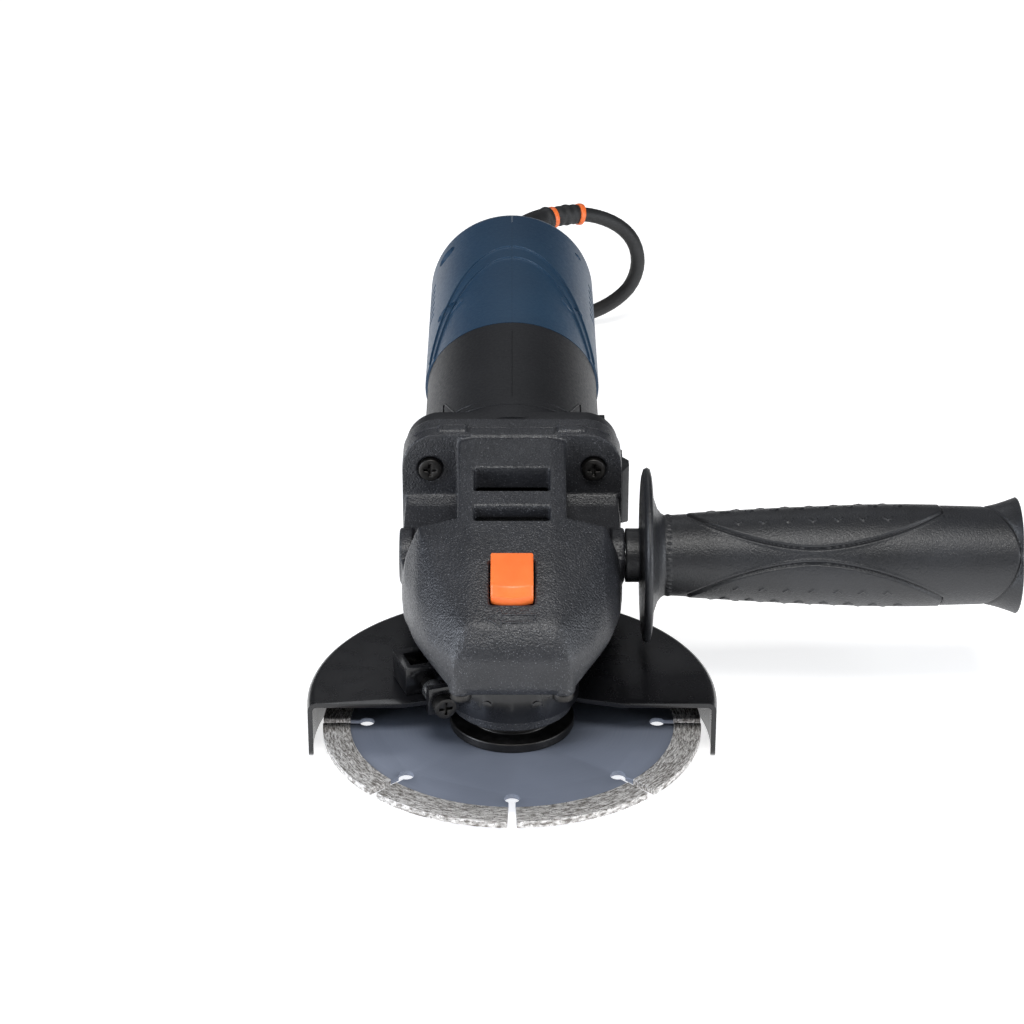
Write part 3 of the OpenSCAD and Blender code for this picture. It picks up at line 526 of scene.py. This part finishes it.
def mains_cord():
    route = smooth_route(LEAD + [(7, 359, -5.9)] + hank_route() + TAIL, 2.5)
    curve = bpy.data.curves.new("mains_cord", "CURVE")
    curve.dimensions = "3D"
    curve.bevel_depth = CORD_D / 2 * MM
    curve.bevel_resolution = 6
    spline = curve.splines.new("POLY")
    spline.points.add(len(route) - 1)
    for point, place in zip(spline.points, route):
        point.co = (*(place * MM), 1)
    cord = new_object("mains_cord", curve)
    curve.materials.append(MATERIALS["black_rubber"])
    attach(cord, "grinder_body")
    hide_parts("cord", "cord_hank")

    lead = smooth_route(LEAD[:4], 0.35)
    run = np.concatenate([[0], np.cumsum(np.linalg.norm(np.diff(lead, axis=0), axis=1))])
    first, last = 1.5, 14.8
    part = lead[(run > first - 1.2) & (run < last + 1.2)]
    at = run[(run > first - 1.2) & (run < last + 1.2)]
    knobbly = 4.15 + 0.14 * np.sin(at * 1.7) + 0.3 * np.exp(-((at - 8) / 3.0) ** 2)
    sleeve = finish_piece(new_object("sleeve_shape", sweep("sleeve_shape", part, knobbly, 40)), "cord_sleeve")
    for name, centre in (("ring_near", first), ("ring_far", last)):
        inside = np.abs(run - centre) < 1.35
        bulge = 4.25 + 0.45 * np.sqrt(np.clip(1 - ((run[inside] - centre) / 1.36) ** 2, 0, 1))
        band = new_object(name, sweep(name, lead[inside], bulge, 40))
        finish_piece(band, "cord_rings")

    plug = plug_shape()
    boot_shape()


def boot_shape():
    """Tapered strain relief: a collar, shallow grooves round it, and a rolled lip at the tip."""
    path = smooth_route(BOOT_PATH, 0.5)
    run = np.concatenate([[0], np.cumsum(np.linalg.norm(np.diff(path, axis=0), axis=1))])
    total = run[-1]
    radii = 7.0 - 2.3 * (run / total) ** 0.9
    groove = (np.abs((run / 5.2) % 1 - 0.5) < 0.16) & (run > 12) & (run < total - 14)
    radii = radii - 0.5 * groove
    radii += 0.55 * np.exp(-((run - total + 1.4) / 1.3) ** 2)
    boot = new_object("boot_shape", sweep("boot_shape", path, radii, 40))
    finish_piece(boot, "cord_boot", smooth_angle=50)


def plug_shape():
    """A two-pin plug: the body narrows to its lead and has finger grooves on both sides."""
    low, high = (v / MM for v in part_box("plug_body"))
    mid = (low + high) / 2
    steps = np.linspace(0, 1, 70)
    turn = np.linspace(0, 2 * np.pi, 96, endpoint=False)
    rings = []
    for t in steps:
        y = low.y + (high.y - low.y) * t
        grow = float(ease(t / 0.42))
        half_w = 5.2 + (17 - 5.2) * grow - 1.3 * float(ease((t - 0.93) / 0.07))
        half_h = 5.2 + (12 - 5.2) * grow - 1.3 * float(ease((t - 0.93) / 0.07))
        half_w -= 0.6 * max(0.0, math.sin(t * 60)) * float(0.5 < t < 0.85)
        power = 2 / (2 + 2.4 * grow)
        c, s = np.cos(turn), np.sin(turn)
        x = half_w * np.sign(c) * np.abs(c) ** power
        z = half_h * np.sign(s) * np.abs(s) ** power
        rings.append(np.stack([mid.x + x, np.full_like(x, y), mid.z + z], axis=1))
    plug = new_object("plug_shape", grid_mesh("plug_shape", np.array(rings)[:, ::-1] * MM))
    return finish_piece(plug, "plug_body", smooth_angle=50)


# --- Side handle -------------------------------------------------------------

HANDLE_OUTLINE = [(37.7, 8.7), (37.9, 9.0), (42.2, 9.0), (42.6, 9.6), (43.0, 12.0), (43.2, 20.0), (43.3, 27.0), (43.8, 28.7),
                  (44.8, 29.3), (45.8, 28.8), (46.3, 27.0), (46.9, 20.0), (48.4, 15.6), (49.6, 14.1), (50.6, 13.5)]
GRIP_OUTLINE = [(50.6, 13.5), (53, 13.5), (58.5, 13.8), (75, 14.8), (90, 15.6), (105, 16.2), (118, 16.7), (131, 16.8),
                (145, 16.6), (157, 16.3), (168, 16.2)]
GRIP_START, PANEL_START, PANEL_END, HANDLE_END = 50.6, 58.0, 142.5, 168.0
TOWARDS_CAMERA = np.array([0.0, -0.8965, 0.4431])
ACROSS = np.array([0.0, 0.4431, 0.8965])


def panel_edge(x, waist, spread):
    """Height of a panel's edge over the handle's middle line, seen from the front."""
    return waist + spread * np.clip(np.abs(x - 99.4) / 41, 0, 1.1) ** 1.75


def v_marks(x, angle):
    """Small raised V marks in rows over both panels."""
    height = np.zeros_like(x)
    for row, row_angle in enumerate((46, 72, 98, 124)):
        for side in (1, -1):
            for i in range(8):
                centre_x = 66.5 + i * 8.2 + (row % 2) * 4.1
                if centre_x > 138:
                    continue
                dx = x - centre_x
                da = (side * angle - math.radians(row_angle)) * 16
                arm = np.abs(da - (np.abs(dx) - 0.7))
                mark = ease(1 - arm / 0.55) * (np.abs(dx) < 1.5)
                height = np.maximum(height, 0.42 * mark)
    return height


def side_handle():
    fine = 0.32
    stations = []
    radii = []
    for (x0, r0), (x1, r1) in zip(HANDLE_OUTLINE, HANDLE_OUTLINE[1:]):
        count = max(2, int(math.hypot(x1 - x0, r1 - r0) / 0.5))
        t = np.linspace(0, 1, count, endpoint=False)
        stations.append(x0 + (x1 - x0) * t)
        radii.append(r0 + (r1 - r0) * t)
    grip_x = np.arange(GRIP_START, HANDLE_END, fine)
    knots = np.array(GRIP_OUTLINE)
    stations.append(grip_x)
    radii.append(np.interp(grip_x, knots[:, 0], knots[:, 1]))
    x = np.concatenate(stations)
    r = np.concatenate(radii)
    around = 352
    angle = np.linspace(-np.pi, np.pi, around, endpoint=False)
    xx, aa = np.meshgrid(x, angle, indexing="ij")
    rr = np.repeat(r[:, None], around, axis=1)
    height = np.abs(np.sin(aa)) * rr

    grip = xx > GRIP_START
    edge = panel_edge(xx, 2.6, 10.8)
    gap = height - np.where(np.abs(aa) < np.pi / 2, edge, edge + 1.2)
    inside = (xx > PANEL_START) & (xx < PANEL_END)
    ends = np.minimum(xx - PANEL_START, PANEL_END - xx)
    gap = np.where(inside, np.minimum(gap, ends * 0.9), -9)
    relief = 0.3 * ease(gap / 0.9 + 0.2) - 0.62 * np.exp(-((gap + 0.1) / 0.42) ** 2) + 0.2 * np.exp(-((gap + 1.25) / 0.4) ** 2)
    rr += np.where(grip & inside, relief + v_marks(xx, aa) * (gap > 1.2), 0)

    start = 157 + 10.2 * np.abs(np.cos(aa)) ** 1.4
    flare = np.clip((xx - start) / (HANDLE_END + 0.5 - start), 0, 1)
    lip = np.where(xx > start, 3.5 * flare**1.35 * np.abs(np.sin(aa)) ** 0.3, 0)
    seam = -0.45 * np.exp(-((xx - start) / 0.45) ** 2)
    rr += np.where(xx > 150, lip + seam, 0)
    bead = (xx > 51.0) & (xx < 52.8)
    rr += np.where(bead, 0.28 * np.maximum(0, np.sin(aa * 46)) * np.sin((xx - 51.0) / 1.8 * np.pi), 0)

    rim = [(HANDLE_END + 0.05, 0.985), (HANDLE_END + 0.02, 0.95), (HANDLE_END - 0.5, 0.9), (HANDLE_END - 0.7, 0.6),
           (HANDLE_END - 0.7, 0.15)]
    for end_x, share in rim:
        xx = np.vstack([xx, np.full((1, around), end_x)])
        aa = np.vstack([aa, aa[:1]])
        rr = np.vstack([rr, rr[len(x) - 1:len(x)] * share])
    centre = np.array([0.0, HANDLE_Y, HANDLE_Z])
    points = centre + xx[..., None] * np.array([1.0, 0, 0]) + (rr * np.cos(aa))[..., None] * TOWARDS_CAMERA \
        + (rr * np.sin(aa))[..., None] * ACROSS
    mesh = grid_mesh("handle_shape", points[:, ::-1] * MM)
    handle = new_object("handle_shape", mesh)
    finish_piece(handle, "handle_grip", ["handle_grip", "handle_pads"], handle_plastic(), smooth_angle=60)


# --- Gear case ---------------------------------------------------------------

def gear_case():
    """The casting: the CAD case with its edges rounded as cast, more so on the nose than round the pockets."""
    bm = tidy_copy("gear_case")
    bmesh.ops.triangulate(bm, faces=bm.faces)
    mesh = bpy.data.meshes.new("gear_case_shape")
    bm.to_mesh(mesh)
    bm.free()
    case = new_object("gear_case_shape", mesh)
    remesh = case.modifiers.new("remesh", "REMESH")
    remesh.mode = "VOXEL"
    remesh.voxel_size = 0.5 * MM
    apply_modifiers(case)
    count = len(case.data.vertices)
    co = np.empty(count * 3, np.float32)
    case.data.vertices.foreach_get("co", co)
    co = co.reshape(-1, 3) / MM
    x, y, z = np.abs(co[:, 0]), co[:, 1], co[:, 2]
    near_button = np.maximum(x - 8.5, np.maximum(y - 0.5, -19 - y))
    near_screws = np.hypot(x - 16.3, y + 26) - 6.5
    near_screws = np.where(z < 37, near_screws, 9)
    near_bottom = z - 27.5
    nose = ease(np.minimum.reduce([near_button / 3, near_screws / 3, near_bottom / 3, (13 - y) / 8]))
    weights = case.vertex_groups.new(name="nose")
    for level in range(1, 11):
        weights.add(np.nonzero(np.round(nose * 10) == level)[0].tolist(), level / 10, "REPLACE")
    for name, group, passes in (("all", "", 5), ("nose", "nose", 110)):
        soften = case.modifiers.new(name, "SMOOTH")
        soften.factor = 0.5
        soften.iterations = passes
        soften.vertex_group = group
    apply_modifiers(case)
    case.vertex_groups.clear()

    bare = case.copy()
    bare.data = case.data.copy()
    bpy.context.scene.collection.objects.link(bare)
    arrow = [(-8.2, -21.9), (-3.6, -19.5), (-3.2, -20.7), (7.6, -20.7), (6.9, -21.9), (7.6, -23.1), (-3.2, -23.1), (-3.6, -24.3)]
    for start, end in zip(arrow, arrow[1:] + arrow[:1]):
        t = np.linspace(0, 1, 12)[:, None]
        ridge(case, onto(bare, np.array(start) * (1 - t) + np.array(end) * t, 0.08), 0.36)
    line_y = 57.6
    for low, high in ((-33, -23.4), (-14.4, 14.4), (23.4, 33)):
        ridge(case, onto(bare, [(x, line_y) for x in np.linspace(low, high, 24)]), 0.24)
    for side in (-1, 1):
        tab = [(14.4, line_y), (14.4, 53), (23.4, 53), (23.4, line_y), (14.4, line_y)]
        for (x0, y0), (x1, y1) in zip(tab, tab[1:]):
            ridge(case, onto(bare, [(side * (x0 + (x1 - x0) * t), y0 + (y1 - y0) * t) for t in np.linspace(0, 1, 12)]), 0.24)
    bpy.data.objects.remove(bare)
    finish_piece(case, "gear_case", smooth_angle=80)


# --- Guard -------------------------------------------------------------------

def guard():
    """Pressed sheet: a rounded shoulder between plate and skirt, and skirt ends cut with round corners."""
    outer, top, low, sheet = 67.5, 12.0, FLOOR_Z / MM, 1.6
    neck = 20.06
    bend = 3.0
    outline = [(neck, top - sheet), (neck, top)]
    outline += [(outer - bend + bend * math.sin(a), top - bend + bend * math.cos(a)) for a in np.radians(range(0, 91, 10))]
    outline += [(outer, low + 0.5), (outer - 0.4, low), (outer - sheet + 0.4, low), (outer - sheet, low + 0.5)]
    inner = bend - sheet
    outline += [(outer - bend + inner * math.cos(a), top - bend + inner * math.sin(a)) for a in np.radians(range(0, 91, 15))]
    turns = np.radians(np.linspace(-14, 194, 300))
    profile = np.array(outline)
    points = np.stack([np.outer(np.cos(turns), profile[:, 0]), np.outer(np.sin(turns), profile[:, 0]),
                       np.repeat(profile[None, :, 1], len(turns), axis=0)], axis=-1)
    shell = new_object("guard_shape", grid_mesh("guard_shape", points * MM))

    front = -9.0
    round_r = 3.6
    corner = [(front + round_r - round_r * math.cos(a), low + round_r - round_r * math.sin(a)) for a in np.radians(range(0, 91, 10))]
    side = [(front, top + 5)] + corner + [(80.0, low - 0.0)] + [(80.0, top + 5)]
    width = 75.0
    slab = np.array([[(x, y, z - (0.01 if z <= low else 0)) for y, z in side] for x in (-width, width)])
    cutter = new_object("guard_cutter", grid_mesh("guard_cutter", slab * MM))
    recalc(shell)
    recalc(cutter)
    cut = shell.modifiers.new("cut", "BOOLEAN")
    cut.operation = "INTERSECT"
    cut.object = cutter
    cut.solver = "EXACT"
    edge = shell.modifiers.new("edge", "BEVEL")
    edge.width = 0.35 * MM
    edge.segments = 3
    edge.limit_method = "ANGLE"
    edge.angle_limit = math.radians(40)
    apply_modifiers(shell)
    bpy.data.objects.remove(cutter)
    finish_piece(shell, "guard", smooth_angle=40)


def recalc(obj):
    bm = bmesh.new()
    bm.from_mesh(obj.data)
    bmesh.ops.recalc_face_normals(bm, faces=bm.faces)
    bm.to_mesh(obj.data)
    bm.free()


# --- Button, housing and covers ----------------------------------------------

def lock_button():
    """The push button: round corners, a dished top and a front face that bows out."""
    bm = tidy_copy("lock_button")
    sharp = [e for e in bm.edges if len(e.link_faces) == 2 and e.calc_face_angle(0) > math.radians(20)]
    bmesh.ops.bevel(bm, geom=sharp, offset=0.55 * MM, segments=4, profile=0.5, affect="EDGES", clamp_overlap=True)
    for x in np.arange(-6, 6.1, 1.0):
        bmesh.ops.bisect_plane(bm, geom=bm.verts[:] + bm.edges[:] + bm.faces[:], plane_co=(x * MM, 0, 0), plane_no=(1, 0, 0))
    for vert in bm.verts:
        if vert.co.y < -13.5 * MM and vert.co.z > 50 * MM:
            vert.co.y += 1.5 * MM * (vert.co.x / MM / 6.85) ** 2
    bmesh.ops.triangulate(bm, faces=[f for f in bm.faces if len(f.verts) > 4])
    mesh = bpy.data.meshes.new("lock_button_shape")
    bm.to_mesh(mesh)
    bm.free()
    finish_piece(new_object("lock_button_shape", mesh), "lock_button", smooth_angle=40)


def housing():
    """The black housing, with the lines moulded on it and the long grooves at its sides."""
    shell = refine("motor_housing", 0.5, 3)
    for side in (-1, 1):
        for y0, y1, turn, wide in ((72, 104, 50, 0.9), (74, 150, 80, 0.9)):
            at = math.radians(side * turn)
            out = Vector((math.sin(at), 0, math.cos(at)))
            cutter = new_object("groove", bpy.data.meshes.new("groove"))
            bm = bmesh.new()
            bmesh.ops.create_cube(bm, size=1)
            bmesh.ops.scale(bm, vec=(wide * MM, (y1 - y0) * MM, 3 * MM), verts=bm.verts)
            bm.to_mesh(cutter.data)
            bm.free()
            cutter.rotation_euler = (0, at, 0)
            cutter.location = Vector((0, (y0 + y1) / 2, MOTOR_Z)) * MM + out * 32.1 * MM
            bpy.context.view_layer.update()
            cut = shell.modifiers.new("groove", "BOOLEAN")
            cut.operation = "DIFFERENCE"
            cut.object = cutter
            cut.solver = "EXACT"
            apply_modifiers(shell)
            bpy.data.objects.remove(cutter)
    ridge(shell, around_motor(31.5, [(84.6 + 3 * (a / 39) ** 2, a) for a in np.linspace(-39, 39, 40)]), 0.32)
    ridge(shell, around_motor(32.3, [(77.6 + 3 * (a / 32) ** 2, a) for a in np.linspace(-32, 32, 40)]), 0.3)
    for side in (-1, 1):
        ridge(shell, around_motor(31.4, [(87.6 + 16 * t, side * (39 + 10 * t)) for t in np.linspace(0, 1, 12)]), 0.3)
    ridge(shell, around_motor(31.4, [(y, 0) for y in np.linspace(85, 145, 30)]), 0.16)
    finish_piece(shell, "motor_housing", smooth_angle=35)
    true_rounds(shell, (0, 0, MOTOR_Z), (0, 1, 0))


def covers():
    """The blue cover's halves, with the two lines of the raised horseshoe."""
    for node, side in (("rear_cover_left", -1), ("rear_cover_right", 1)):
        half = refine(node, 0.3, 2)
        for k in (0, 1):
            radius, low = 32.4 - 0.45 * k, 6 + 4 * k
            turns = np.linspace(1.0, math.degrees(math.acos((low + 3) / radius)), 60)
            path = [(150 + (radius * math.cos(math.radians(a)) - low) / (32.4 - low) * (77 - 9 * k), side * a) for a in turns]
            path = [(y, a) for y, a in path if y > 164 - 0.37 * radius * math.cos(math.radians(a)) + 1.5]
            ridge(half, around_motor(radius - 0.05, path), 0.32)
        finish_piece(half, node, smooth_angle=35)
        true_rounds(half, (0, 0, MOTOR_Z), (0, 1, 0))


# --- The rest of the outside -------------------------------------------------

REFINED = {
    "bearing_box": 0.4, "bearing_box_screws": 0.2, "spindle": 0.4, "inner_flange": 0.45, "flange_nut": 0.4,
    "disc_core": 0.12, "disc_segments": 0.25, "guard_band": 0.35, "clamp_screw": 0.3,
    "clamp_nut": 0.3, "housing_screws": 0.3,
    "cover_screws": 0.25, "switch_slider": 0.5, "handle_stud": 0.3, "hank_tie": 0.4, "ring_gear": 0.15,
    "pinion": 0.15, "pinion_nut": 0.2, "cooling_fan": 0.2, "armature_core": 0.25, "commutator": 0.08,
    "brush_holders": 0.3, "noise_capacitor": 0.8, "switch_body": 0.7, "cord_clamp": 0.6,
}


def build():
    studio()
    mains_cord()
    side_handle()
    gear_case()
    lock_button()
    housing()
    covers()
    guard()
    for node, bevel in REFINED.items():
        shape = refine(node, bevel, 3 if bevel >= 0.4 else 2)
        if node in ("bearing_box", "inner_flange", "flange_nut", "disc_segments"):
            true_rounds(shape, (0, 0, 0), (0, 0, 1))
    for node, obj in frame["nodes"].items():
        obj.data.materials.clear()
        obj.data.materials.append(MATERIALS[SLOT_OF[node]])


MATERIALS = make_materials()
build()
